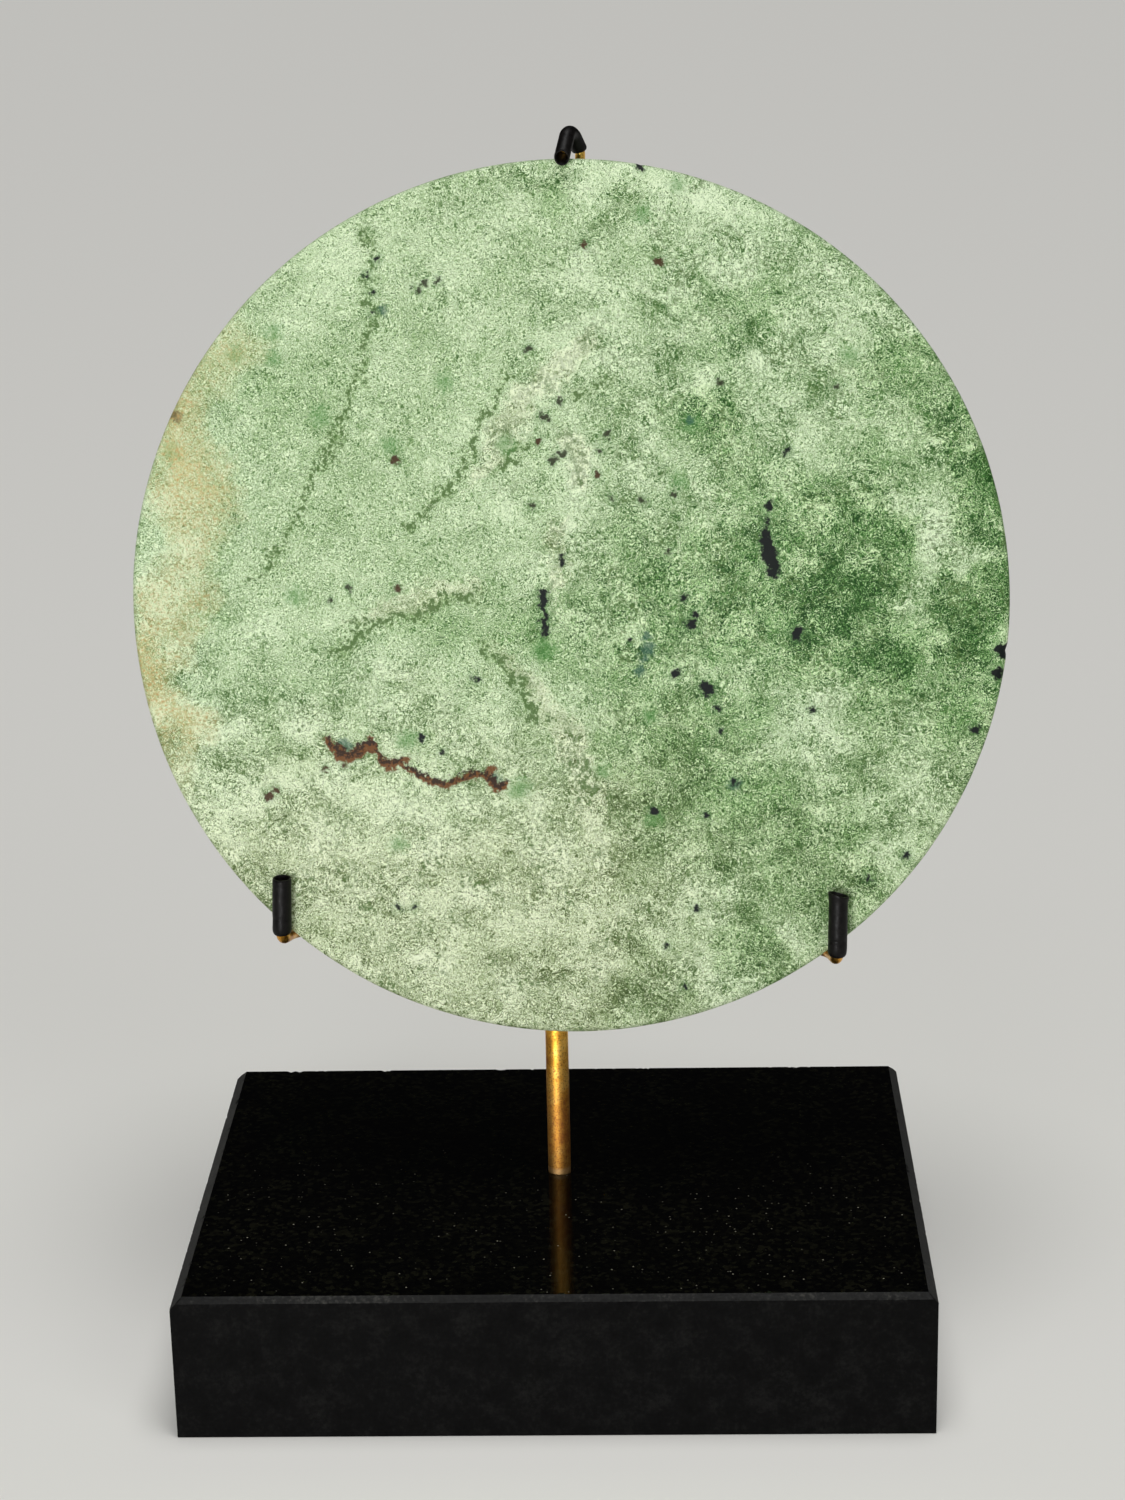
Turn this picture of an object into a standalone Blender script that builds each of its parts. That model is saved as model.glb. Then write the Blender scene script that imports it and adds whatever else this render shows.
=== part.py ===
"""Greenstone disc held by a brass mount on a black granite block. Metres, +Z up.

The origin is the middle of the block's underside, and the viewer stands towards -Y. The disc leans
back on its mount. An empty, disc_seat, stands at the disc's centre and leans with it: in its frame X
runs across the disc, Y points behind it and Z runs up its face. The disc, the arms, the top rod and
the sleeves are made in that frame. The post is made upright and then leans back with the disc.
"""
import math

import bmesh
import bpy
from mathutils import Euler, Vector

# The block of black granite
BASE_WIDTH = 0.150
BASE_DEPTH = 0.110
BASE_HEIGHT = 0.0306
FRONT_CHAMFER = 0.0011
BACK_CHAMFER = 0.0011
LEFT_CHAMFER = 0.0023
RIGHT_CHAMFER = 0.0019
POST_HOLE_DEPTH = 0.014

# The greenstone disc: its faces are slightly crowned and its edges are rounded
DISC_DIAMETER = 0.1763
DISC_THICKNESS = 0.008
RIM_THICKNESS = 0.005
RIM_ROUND = 0.0013
DISC_LEAN = math.radians(9.0)
DISC_TURN = math.radians(-1.0)
DISC_RISE = 0.0354
DISC_SHIFT = 0.0042

# The post: a brass rod, upright below the disc and leaning with it above the bend
POST_DIAMETER = 0.00475
POST_SET_BACK = 0.0017
POST_BEND_ABOVE_RIM = 0.0085
POST_BEND_RADIUS = 0.025
POST_ABOVE_ARMS = 0.042
POST_STANDOFF = 0.0005

# The two arms: thinner rods soldered to the post's sides, each ending in a prong
ARM_DIAMETER = 0.0027
LEFT_FOOT_ANGLE = math.radians(41.3)
RIGHT_FOOT_ANGLE = math.radians(36.6)
ARM_JOINT_RISE = 0.008
ARM_LEVEL_RUN = 0.003
ARM_TOE_IN = 0.0016
PRONG_BEND_RADIUS = 0.0026
ARM_BEND_RADIUS = 0.0045
ARM_LEVEL_RADIUS = 0.010
LEFT_MOUTH_RISE = 0.0126
RIGHT_MOUTH_RISE = 0.0134
PRONG_DRIFT = 0.0003

# The top rod: the thinnest rod, lapped beside the post's upper end and hooked over the rim
TOP_ROD_DIAMETER = 0.002
TOP_ROD_LAP = 0.024
TOP_ROD_ACROSS = 0.0032
TOP_ROD_STANDOFF = 0.0008
HOOK_START_ABOVE_RIM = 0.0015
HOOK_PEAK_ACROSS = 0.0012
HOOK_PEAK_BEHIND = 0.0010
HOOK_PEAK_ABOVE_RIM = 0.0060
HOOK_MOUTH_ACROSS = -0.0001
HOOK_MOUTH_BEFORE = 0.0046
HOOK_MOUTH_BELOW_RIM = 0.0001
HOOK_BEND_RADIUS = 0.0024
TOP_ROD_BEND_RADIUS = 0.030

# The black sleeves: shrunk tube, open at the mouth, which stands past the rod's tip. A mouth's drop is
# how much lower it is cut at its right side and at its front.
PRONG_SLEEVE_DIAMETER = 0.0040
TOP_SLEEVE_DIAMETER = 0.0032
SLEEVE_OVERHANG = 0.0025
LEFT_SLEEVE_LENGTH = 0.0113
RIGHT_SLEEVE_LENGTH = 0.0123
TOP_SLEEVE_LENGTH = 0.0127
LEFT_MOUTH_DROP = (0.0, 0.0007)
RIGHT_MOUTH_DROP = (0.0009, 0.0)
TOP_MOUTH_DROP = (0.0, 0.0021)
RIGHT_MOUTH_FLARE = 0.0003
MOUTH_FLARE_DEPTH = 0.0012

# Clearances between pieces that touch, and how far the drilling guide stands above the block
FIT_GAP = 0.0003
STONE_GAP = 0.0003
DRILL_MARGIN = 0.002

# Fineness of the turned and swept pieces. A swept path has no point nearer its ends than the shortest run.
DISC_FACETS = 120
CROWN_STEPS = 5
ROUND_STEPS = 4
POST_SIDES = 20
ROD_SIDES = 12
SLEEVE_SIDES = 16
ARC_STEP = math.radians(15)
SHORTEST_RUN = 0.0002


def linear(hex_colour):
    """The linear RGBA values of an sRGB hex colour such as '#8FA87E'."""
    parts = [int(hex_colour[i:i + 2], 16) / 255 for i in (1, 3, 5)]
    return [c / 12.92 if c <= 0.04045 else ((c + 0.055) / 1.055) ** 2.4 for c in parts] + [1.0]


def finish(name, hex_colour, roughness, metallic=0.0):
    material = bpy.data.materials.new(name)
    material.use_nodes = True
    shader = material.node_tree.nodes["Principled BSDF"]
    shader.inputs["Base Color"].default_value = linear(hex_colour)
    shader.inputs["Roughness"].default_value = roughness
    shader.inputs["Metallic"].default_value = metallic
    return material


def add_piece(name, form, material, parent=None, sharp_angle=math.radians(40)):
    """Turn a bmesh into an object with its own material, shaded smooth except at its corners."""
    bmesh.ops.recalc_face_normals(form, faces=form.faces[:])
    mesh = bpy.data.meshes.new(name)
    form.to_mesh(mesh)
    form.free()
    mesh.materials.append(material)
    mesh.shade_smooth()
    mesh.set_sharp_from_angle(angle=sharp_angle)
    piece = bpy.data.objects.new(name, mesh)
    bpy.context.collection.objects.link(piece)
    piece.parent = parent
    return piece


def rounded_path(corners, radii):
    """Points along straight runs through the corners, with an arc of the given radius at each inner one."""
    points = [corners[0]]
    for before, corner, after, radius in zip(corners, corners[1:], corners[2:], radii):
        arriving = (corner - before).normalized()
        leaving = (after - corner).normalized()
        turn = arriving.angle(leaving)
        start = corner - arriving * radius * math.tan(turn / 2)
        inward = (leaving - arriving * leaving.dot(arriving)).normalized()
        centre = start + inward * radius
        steps = max(2, math.ceil(turn / ARC_STEP))
        for i in range(steps + 1):
            angle = turn * i / steps
            points.append(centre + radius * (arriving * math.sin(angle) - inward * math.cos(angle)))
    points.append(corners[-1])
    return points


def stretch_of(points, start=0.0, end=math.inf):
    """The part of a path between two distances along it, with no point too near either end."""
    cut = []
    travelled = 0.0
    for a, b in zip(points, points[1:]):
        run = (b - a).length
        if not cut and travelled + run > start:
            cut.append(a.lerp(b, (start - travelled) / run))
        if cut:
            cut.append(b)
        if cut and travelled + run >= end:
            cut[-1] = a.lerp(b, (end - travelled) / run)
            break
        travelled += run
    inner = [p for p in cut[1:-1] if min((p - cut[0]).length, (p - cut[-1]).length) > SHORTEST_RUN]
    return [cut[0], *inner, cut[-1]]


def cross_frames(points):
    """At each point of a path, its direction and two cross directions, carried along without twist."""
    directions = []
    for i, point in enumerate(points):
        before = point - points[i - 1] if i > 0 else points[1] - point
        after = points[i + 1] - point if i < len(points) - 1 else before
        directions.append((before.normalized() + after.normalized()).normalized())
    side = directions[0].orthogonal().normalized()
    frames = []
    for direction in directions:
        side = (side - direction * side.dot(direction)).normalized()
        frames.append((direction, side, direction.cross(side)))
    return frames


def ring_of(form, point, frame, radius, sides):
    _, side, other = frame
    ring = []
    for i in range(sides):
        angle = 2 * math.pi * i / sides
        ring.append(form.verts.new(point + radius * (side * math.cos(angle) + other * math.sin(angle))))
    return ring


def join_rings(form, ring, next_ring):
    count = len(ring)
    for i in range(count):
        j = (i + 1) % count
        form.faces.new((ring[i], ring[j], next_ring[j], next_ring[i]))


def swept_rod(points, diameter, sides):
    """A solid round rod along a path, with flat ends."""
    form = bmesh.new()
    rings = [ring_of(form, p, f, diameter / 2, sides) for p, f in zip(points, cross_frames(points))]
    for ring, next_ring in zip(rings, rings[1:]):
        join_rings(form, ring, next_ring)
    form.faces.new(rings[0])
    form.faces.new(rings[-1])
    return form


def swept_sleeve(points, outer, inner, mouth_drop, flare):
    """A tube along a path. Its mouth, at the first point, is cut aslant and may be a little flared."""
    frames = cross_frames(points)
    mouth_line = points[0] + (points[1] - points[0]).normalized() * MOUTH_FLARE_DEPTH
    points = [points[0], mouth_line] + points[1:]
    frames = [frames[0]] + frames
    form = bmesh.new()
    walls = []
    for diameter in (outer, inner):
        spread = [flare] + [0.0] * (len(points) - 1)
        walls.append([ring_of(form, p, f, diameter / 2 + s, SLEEVE_SIDES)
                      for p, f, s in zip(points, frames, spread)])
    across_drop, front_drop = mouth_drop
    slope = Vector((across_drop, -front_drop, 0)) / outer
    direction = frames[0][0]
    mouth_normal = direction * (1 + slope.dot(direction)) - slope
    for wall in walls:
        for corner, below in zip(wall[0], wall[1]):
            edge = below.co - corner.co
            corner.co -= edge * ((corner.co - points[0]).dot(mouth_normal) / edge.dot(mouth_normal))
        for ring, next_ring in zip(wall, wall[1:]):
            join_rings(form, ring, next_ring)
    for end in (0, -1):
        join_rings(form, walls[0][end], walls[1][end])
    return form


def face_height(radius):
    """Height of the disc's crowned face over its middle plane, at a distance from its axis."""
    crown = (DISC_THICKNESS - RIM_THICKNESS) / 2
    flat_radius = DISC_DIAMETER / 2 - RIM_ROUND
    return DISC_THICKNESS / 2 - crown * (radius / flat_radius) ** 2


def disc_form():
    """The disc, turned about Y: a crowned face, a rounded rim and the same again behind."""
    flat_radius = DISC_DIAMETER / 2 - RIM_ROUND
    half = []
    for i in range(CROWN_STEPS + 1):
        radius = flat_radius * i / CROWN_STEPS
        half.append((radius, face_height(radius)))
    for i in range(1, ROUND_STEPS + 1):
        angle = math.pi / 2 * i / ROUND_STEPS
        half.append((flat_radius + RIM_ROUND * math.sin(angle),
                     RIM_THICKNESS / 2 - RIM_ROUND * (1 - math.cos(angle))))
    outline = [(r, -h) for r, h in half] + [(r, h) for r, h in reversed(half)]
    form = bmesh.new()
    corners = [form.verts.new((r, y, 0)) for r, y in outline]
    edges = [form.edges.new(pair) for pair in zip(corners, corners[1:])]
    bmesh.ops.spin(form, geom=corners + edges, cent=(0, 0, 0), axis=(0, 1, 0),
                   angle=2 * math.pi, steps=DISC_FACETS, use_merge=True)
    bmesh.ops.remove_doubles(form, verts=form.verts[:], dist=1e-6)
    return form


def base_form():
    """The block, with its four top edges planed off at 45 degrees, each by its own width."""
    form = bmesh.new()
    bmesh.ops.create_cube(form, size=1.0)
    bmesh.ops.scale(form, vec=(BASE_WIDTH, BASE_DEPTH, BASE_HEIGHT), verts=form.verts[:])
    bmesh.ops.translate(form, vec=(0, 0, BASE_HEIGHT / 2), verts=form.verts[:])
    for direction, reach, width in (((0, -1), BASE_DEPTH / 2, FRONT_CHAMFER),
                                    ((0, 1), BASE_DEPTH / 2, BACK_CHAMFER),
                                    ((-1, 0), BASE_WIDTH / 2, LEFT_CHAMFER),
                                    ((1, 0), BASE_WIDTH / 2, RIGHT_CHAMFER)):
        outward = Vector((*direction, 0))
        on_plane = outward * (reach - width) + Vector((0, 0, BASE_HEIGHT))
        cut = bmesh.ops.bisect_plane(form, geom=form.verts[:] + form.edges[:] + form.faces[:],
                                     plane_co=on_plane, plane_no=outward + Vector((0, 0, 1)),
                                     clear_outer=True)
        rim = [item for item in cut["geom_cut"] if isinstance(item, bmesh.types.BMEdge)]
        bmesh.ops.contextual_create(form, geom=rim)
    return form


def hole_cutter(across, depth_back, diameter, depth):
    """A guide that drills the post's hole down from the block's top."""
    form = bmesh.new()
    bmesh.ops.create_cone(form, cap_ends=True, segments=POST_SIDES, radius1=diameter / 2,
                          radius2=diameter / 2, depth=depth + DRILL_MARGIN)
    middle = BASE_HEIGHT - depth / 2 + DRILL_MARGIN / 2
    bmesh.ops.translate(form, vec=(across, depth_back, middle), verts=form.verts[:])
    cutter = add_piece("post_hole_guide", form, finish("guide", "#808080", 0.5))
    cutter.hide_render = True
    cutter.display_type = "WIRE"
    return cutter


def make_base():
    base = add_piece("granite_base", base_form(), finish("black_granite", "#1B1B1A", 0.25),
                     sharp_angle=math.radians(20))
    cutter = hole_cutter(0, POST_SET_BACK, POST_DIAMETER + 2 * FIT_GAP, POST_HOLE_DEPTH)
    drill = base.modifiers.new("post_hole", "BOOLEAN")
    drill.operation = "DIFFERENCE"
    drill.solver = "EXACT"
    drill.object = cutter
    return base


def make_seat(spine_behind):
    """The leaning frame at the disc's centre, placed so that the post's bend comes over its hole."""
    seat = bpy.data.objects.new("disc_seat", None)
    bpy.context.collection.objects.link(seat)
    seat.rotation_euler = Euler((-DISC_LEAN, 0, DISC_TURN), "XYZ")
    turned = seat.rotation_euler.to_matrix()
    bend = turned @ Vector((-DISC_SHIFT, spine_behind, POST_BEND_ABOVE_RIM - DISC_DIAMETER / 2))
    height = BASE_HEIGHT + DISC_RISE + DISC_DIAMETER / 2 * math.cos(DISC_LEAN)
    seat.location = (-bend.x, POST_SET_BACK - bend.y, height)
    bpy.context.view_layer.update()
    return seat


def make_post(seat, spine_behind, top_up, brass):
    """Upright from the bottom of its hole to the bend, and then up behind the disc."""
    bend_up = POST_BEND_ABOVE_RIM - DISC_DIAMETER / 2
    bend = seat.matrix_world @ Vector((-DISC_SHIFT, spine_behind, bend_up))
    top = seat.matrix_world @ Vector((-DISC_SHIFT, spine_behind, top_up))
    bottom = Vector((bend.x, bend.y, BASE_HEIGHT - POST_HOLE_DEPTH + FIT_GAP))
    path = rounded_path([bottom, bend, top], [POST_BEND_RADIUS])
    return add_piece("brass_post", swept_rod(path, POST_DIAMETER, POST_SIDES), brass)


def foot_of(side, angle, along=0.0):
    """Where an arm passes under the rim, or a little way along the rim's tangent from there."""
    reach = DISC_DIAMETER / 2 + STONE_GAP + ARM_DIAMETER / 2
    across = side * (reach * math.sin(angle) - along * math.cos(angle))
    return across, -reach * math.cos(angle) - along * math.sin(angle)


def arm_path(side, angle, mouth_rise, mouth_radius, spine_behind, joint_up):
    """From the sleeve's mouth down in front of the disc, back under its rim and in to the post's side."""
    across, up = foot_of(side, angle)
    back_across, back_up = foot_of(side, angle, ARM_TOE_IN)
    mouth_up = up + mouth_rise
    before = face_height(math.hypot(across, mouth_up)) + STONE_GAP + mouth_radius
    joint_across = -DISC_SHIFT + side * (POST_DIAMETER / 2 + FIT_GAP)
    corners = [Vector((across + PRONG_DRIFT, -before, mouth_up)),
               Vector((across, -before, up)),
               Vector((back_across, spine_behind, back_up)),
               Vector((joint_across + side * ARM_LEVEL_RUN, spine_behind, joint_up)),
               Vector((joint_across, spine_behind, joint_up))]
    return rounded_path(corners, [PRONG_BEND_RADIUS, ARM_BEND_RADIUS, ARM_LEVEL_RADIUS])


def top_rod_path(spine_behind, top_up):
    """From the sleeve's mouth back over the disc's rim, and down behind the disc to beside the post."""
    radius = DISC_DIAMETER / 2
    lap_across = -DISC_SHIFT + (POST_DIAMETER + TOP_ROD_DIAMETER) / 2 + FIT_GAP
    rod_behind = RIM_THICKNESS / 2 + TOP_ROD_STANDOFF + TOP_ROD_DIAMETER / 2
    corners = [Vector((HOOK_MOUTH_ACROSS, -HOOK_MOUTH_BEFORE, radius - HOOK_MOUTH_BELOW_RIM)),
               Vector((HOOK_PEAK_ACROSS, HOOK_PEAK_BEHIND, radius + HOOK_PEAK_ABOVE_RIM)),
               Vector((TOP_ROD_ACROSS, rod_behind, radius + HOOK_START_ABOVE_RIM)),
               Vector((lap_across, spine_behind, top_up)),
               Vector((lap_across, spine_behind, top_up - TOP_ROD_LAP))]
    radii = [HOOK_BEND_RADIUS, HOOK_BEND_RADIUS, TOP_ROD_BEND_RADIUS]
    return rounded_path(corners, radii)


def make_rod(name, line, diameter, seat, brass):
    """A rod along a line that starts at its sleeve's mouth. The rod ends short of the mouth."""
    return add_piece(name, swept_rod(stretch_of(line, SLEEVE_OVERHANG), diameter, ROD_SIDES), brass, seat)


def make_sleeve(name, line, rod_diameter, diameter, length, mouth_drop, flare, seat, black):
    """A sleeve of the given length along a line that starts at its mouth."""
    form = swept_sleeve(stretch_of(line, end=length), diameter, rod_diameter + 2 * FIT_GAP,
                        mouth_drop, flare)
    return add_piece(name, form, black, seat)


def build():
    for old in list(bpy.data.objects):
        bpy.data.objects.remove(old, do_unlink=True)

    brass = finish("brass", "#B98A3C", 0.28, 1.0)
    black = finish("black_sleeve", "#1E1D1C", 0.55)
    greenstone = finish("greenstone", "#8FAE84", 0.5)

    spine_behind = DISC_THICKNESS / 2 + POST_STANDOFF + POST_DIAMETER / 2
    joint_up = foot_of(-1, LEFT_FOOT_ANGLE)[1] + ARM_JOINT_RISE
    post_top_up = joint_up + POST_ABOVE_ARMS

    make_base()
    seat = make_seat(spine_behind)
    add_piece("greenstone_disc", disc_form(), greenstone, seat)
    make_post(seat, spine_behind, post_top_up, brass)

    prong_radius = PRONG_SLEEVE_DIAMETER / 2
    left = arm_path(-1, LEFT_FOOT_ANGLE, LEFT_MOUTH_RISE, prong_radius, spine_behind, joint_up)
    right = arm_path(1, RIGHT_FOOT_ANGLE, RIGHT_MOUTH_RISE, prong_radius + RIGHT_MOUTH_FLARE,
                     spine_behind, joint_up)
    top = top_rod_path(spine_behind, post_top_up)
    make_rod("brass_arm_left", left, ARM_DIAMETER, seat, brass)
    make_rod("brass_arm_right", right, ARM_DIAMETER, seat, brass)
    make_rod("brass_top_rod", top, TOP_ROD_DIAMETER, seat, brass)
    make_sleeve("sleeve_left", left, ARM_DIAMETER, PRONG_SLEEVE_DIAMETER, LEFT_SLEEVE_LENGTH,
                LEFT_MOUTH_DROP, 0.0, seat, black)
    make_sleeve("sleeve_right", right, ARM_DIAMETER, PRONG_SLEEVE_DIAMETER, RIGHT_SLEEVE_LENGTH,
                RIGHT_MOUTH_DROP, RIGHT_MOUTH_FLARE, seat, black)
    make_sleeve("sleeve_top", top, TOP_ROD_DIAMETER, TOP_SLEEVE_DIAMETER, TOP_SLEEVE_LENGTH,
                TOP_MOUTH_DROP, 0.0, seat, black)


build()
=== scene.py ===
"""The looks of the greenstone disc on its stand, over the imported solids. Metres, +Z up, -Y to the viewer."""
import math
import random

import bmesh
import bpy
from mathutils import Euler, Matrix, Vector
from mathutils import noise as space_noise


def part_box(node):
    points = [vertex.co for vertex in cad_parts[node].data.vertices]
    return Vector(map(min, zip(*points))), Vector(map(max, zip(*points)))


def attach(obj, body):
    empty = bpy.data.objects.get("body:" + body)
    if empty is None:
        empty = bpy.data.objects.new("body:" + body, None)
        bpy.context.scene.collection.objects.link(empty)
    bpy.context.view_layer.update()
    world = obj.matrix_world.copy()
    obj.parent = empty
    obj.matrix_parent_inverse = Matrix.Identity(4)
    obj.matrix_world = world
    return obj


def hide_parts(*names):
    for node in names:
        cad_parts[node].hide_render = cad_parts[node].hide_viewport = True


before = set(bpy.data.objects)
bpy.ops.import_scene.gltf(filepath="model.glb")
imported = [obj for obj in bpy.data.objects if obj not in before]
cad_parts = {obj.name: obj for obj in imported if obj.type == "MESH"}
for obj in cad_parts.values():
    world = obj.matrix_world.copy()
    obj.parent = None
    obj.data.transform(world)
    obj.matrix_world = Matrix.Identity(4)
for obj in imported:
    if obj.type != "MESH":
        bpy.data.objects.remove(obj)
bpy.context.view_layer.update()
scene = bpy.context.scene
MM = 0.001


# ---- The granite block ----
# The foot is a sawn block of black granite. Its top is polished, its sides are only honed, and its four
# upper edges are ground off by hand, a little unevenly. A hole is drilled in the top for the post.

_, block_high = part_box("granite_base")
BLOCK_HALF_WIDTH = block_high.x
BLOCK_HALF_DEPTH = block_high.y
BLOCK_HEIGHT = block_high.z
GROUND_LEFT, GROUND_RIGHT, GROUND_FRONT, GROUND_BACK = 2.3 * MM, 1.9 * MM, 1.1 * MM, 1.1 * MM
POST_PLACE = Vector((0, 1.7 * MM, 0))
HOLE_RADIUS = 2.675 * MM
HOLE_DEPTH = 14 * MM
HOLE_SIDES = 40
EDGE_STEP = 0.5 * MM
HOLE_EDGE = 0.2 * MM
LARGEST_CHIP = 0.65 * MM
CHIP_SLOPE = 0.45
CHIPPED_DOWN_TO = 6 * MM
CHIPPED_IN_FROM = 4 * MM
CHIPS_PER_RING = 80
DROPS_BELOW_EDGE = [drop * MM for drop in (3, 1.6, 0.8, 0.35, 0)]
INSETS_PAST_EDGE = [inset * MM for inset in (0.3, 0.8, 1.6, 3)]
FOOT_EDGE = 0.15 * MM
POLISHED, GROUND, HONED = 0, 1, 2
GRAIN_MM = 0.9
FLECK_MM = 1.15
CLOUD_MM = 14.0


def linear(hex_colour):
    """The linear RGBA values of an sRGB hex colour."""
    parts = [int(hex_colour[i:i + 2], 16) / 255 for i in (1, 3, 5)]
    return [c / 12.92 if c <= 0.04045 else ((c + 0.055) / 1.055) ** 2.4 for c in parts] + [1]


def start_material(name):
    """A new material and its shader."""
    material = bpy.data.materials.new(name)
    material.use_nodes = True
    return material, material.node_tree.nodes["Principled BSDF"]


def feed(node, inputs):
    """Links each input that is given another node's output, and sets the others. Colours come in hex."""
    for name, value in inputs.items():
        if isinstance(value, bpy.types.NodeSocket):
            node.id_data.links.new(value, node.inputs[name])
        else:
            node.inputs[name].default_value = linear(value) if isinstance(value, str) else value


def add(material, kind, inputs, span=(), stops=(), line=(), **settings):
    """Adds a node, feeds it and gives back its outputs. A second word in its kind is what it does or works
    on. A span is a map range's two ends and what they become, stops fill a ramp and a line fills a curve."""
    kind, *mode = kind.split()
    node = material.node_tree.nodes.new("ShaderNode" + kind)
    if mode:
        setattr(node, "data_type" if kind == "Mix" else "operation", *mode)
    for name, value in settings.items():
        setattr(node, name, value)
    feed(node, inputs)
    feed(node, dict(zip(("From Min", "From Max", "To Min", "To Max"), span)))
    for i, (place, colour) in enumerate(stops):
        stop = node.color_ramp.elements[i] if i < 2 else node.color_ramp.elements.new(place)
        stop.position, stop.color = place, linear(colour)
    if line:
        node.mapping.use_clip = False
        node.mapping.extend = "HORIZONTAL"
        points = node.mapping.curves[0].points
        points[0].location, points[1].location = line[0], line[-1]
        for place in line[1:-1]:
            points.new(*place)
        for point in points:
            point.handle_type = "VECTOR"
        node.mapping.update()
    return node.outputs


def millimetres(material):
    """The piece's own coordinates in millimetres."""
    place = add(material, "TexCoord", {})["Object"]
    return add(material, "VectorMath SCALE", {0: place, "Scale": 1000})[0]


def add_piece(name, form, materials, node, place=Matrix.Identity(4), sharp_angle=40):
    """Makes a piece from a bmesh, shaded smooth except at its corners, and puts it in a node's stead."""
    form.transform(place)
    bmesh.ops.recalc_face_normals(form, faces=form.faces[:])
    mesh = bpy.data.meshes.new(name)
    form.to_mesh(mesh)
    form.free()
    for material in materials:
        mesh.materials.append(material)
    mesh.shade_smooth()
    mesh.set_sharp_from_angle(angle=math.radians(sharp_angle))
    piece = bpy.data.objects.new(name, mesh)
    scene.collection.objects.link(piece)
    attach(piece, "root")
    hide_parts(node)
    return piece


def ground_height(x, y):
    """Height of the block's top, which falls away at 45 degrees over each ground edge."""
    fall = max(GROUND_LEFT - (x + BLOCK_HALF_WIDTH), GROUND_RIGHT - (BLOCK_HALF_WIDTH - x),
               GROUND_FRONT - (y + BLOCK_HALF_DEPTH), GROUND_BACK - (BLOCK_HALF_DEPTH - y), 0)
    return BLOCK_HEIGHT - fall


def block_ring(form, share, inset, drop):
    """One loop round the block: a share of the way over the ground edges, then an inset beyond them."""
    left = -BLOCK_HALF_WIDTH + GROUND_LEFT * share + inset
    right = BLOCK_HALF_WIDTH - GROUND_RIGHT * share - inset
    front = -BLOCK_HALF_DEPTH + GROUND_FRONT * share + inset
    back = BLOCK_HALF_DEPTH - GROUND_BACK * share - inset
    corners = [Vector((left, front)), Vector((right, front)), Vector((right, back)), Vector((left, back))]
    counts = [round(2 * side / EDGE_STEP) for side in (BLOCK_HALF_WIDTH, BLOCK_HALF_DEPTH)] * 2
    ring = []
    for start, end, count in zip(corners, corners[1:] + corners[:1], counts):
        for i in range(count):
            x, y = start.lerp(end, i / count)
            ring.append(form.verts.new((x, y, max(ground_height(x, y) - drop, 0))))
    return ring


def round_steps(count):
    """The cosine and sine of each step once round a circle."""
    return [(math.cos(2 * math.pi * i / count), math.sin(2 * math.pi * i / count)) for i in range(count)]


def join_rings(form, ring, next_ring, material=0):
    for i, corner in enumerate(ring):
        j = (i + 1) % len(ring)
        form.faces.new((corner, ring[j], next_ring[j], next_ring[i])).material_index = material


def chipped(form, corners, draw):
    """Small chips and unevenness along the block's upper edges, always inwards."""
    centres = []
    for ring in corners:
        for _ in range(CHIPS_PER_RING):
            centres.append((draw.choice(ring).co.copy(), LARGEST_CHIP * draw.uniform(0.35, 1) ** 2))
    for vertex in form.verts:
        if BLOCK_HEIGHT - vertex.co.z > CHIPPED_DOWN_TO:
            continue
        x, y, _ = vertex.co
        inward = Vector((-math.copysign(1, x) * (abs(x) > BLOCK_HALF_WIDTH - CHIPPED_IN_FROM),
                         -math.copysign(1, y) * (abs(y) > BLOCK_HALF_DEPTH - CHIPPED_IN_FROM), -1))
        depth = 0.0
        for centre, reach in centres:
            near = (vertex.co - centre).length
            if near < reach:
                depth = max(depth, CHIP_SLOPE * reach * (1 - (near / reach) ** 2))
        vertex.co += inward.normalized() * depth


def block_form(draw):
    """The block from its foot up its sides, over the ground edges and across the top to the drilled hole."""
    form = bmesh.new()
    sides = [block_ring(form, 0, 0, drop) for drop in DROPS_BELOW_EDGE]
    edges = [block_ring(form, share, 0, 0) for share in (0.25, 0.5, 0.75, 1)]
    inner = [block_ring(form, 1, inset, 0) for inset in INSETS_PAST_EDGE]
    foot = []
    for inset, height in ((FOOT_EDGE, 0), (0, FOOT_EDGE), (0, 2.0 * MM)):
        ring = block_ring(form, 0, inset, BLOCK_HEIGHT)
        for vertex in ring:
            vertex.co.z = height
        foot.append(ring)
    rings = foot + sides + edges + inner
    finishes = [HONED] * (len(foot) + len(sides) - 1) + [GROUND] * len(edges) + [POLISHED] * len(inner)
    for ring, next_ring, finish in zip(rings, rings[1:], finishes):
        join_rings(form, ring, next_ring, finish)
    chipped(form, [sides[-1], edges[-1]], draw)
    form.faces.new(foot[0]).material_index = HONED
    rim = []
    for radius, depth in ((HOLE_RADIUS + 0.25 * MM, 0), (HOLE_RADIUS, HOLE_EDGE), (HOLE_RADIUS, HOLE_DEPTH)):
        rim.append([form.verts.new(POST_PLACE + Vector((radius * cos, radius * sin, BLOCK_HEIGHT - depth)))
                    for cos, sin in round_steps(HOLE_SIDES)])
    for ring, next_ring in zip(rim, rim[1:]):
        join_rings(form, ring, next_ring, GROUND)
    form.faces.new(rim[-1]).material_index = GROUND
    edges_of_top = [form.edges.get((ring[i], ring[(i + 1) % len(ring)])) for ring in (rings[-1], rim[0])
                    for i in range(len(ring))]
    bmesh.ops.triangle_fill(form, edges=edges_of_top, use_beauty=True, normal=(0, 0, 1))
    return form


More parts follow.
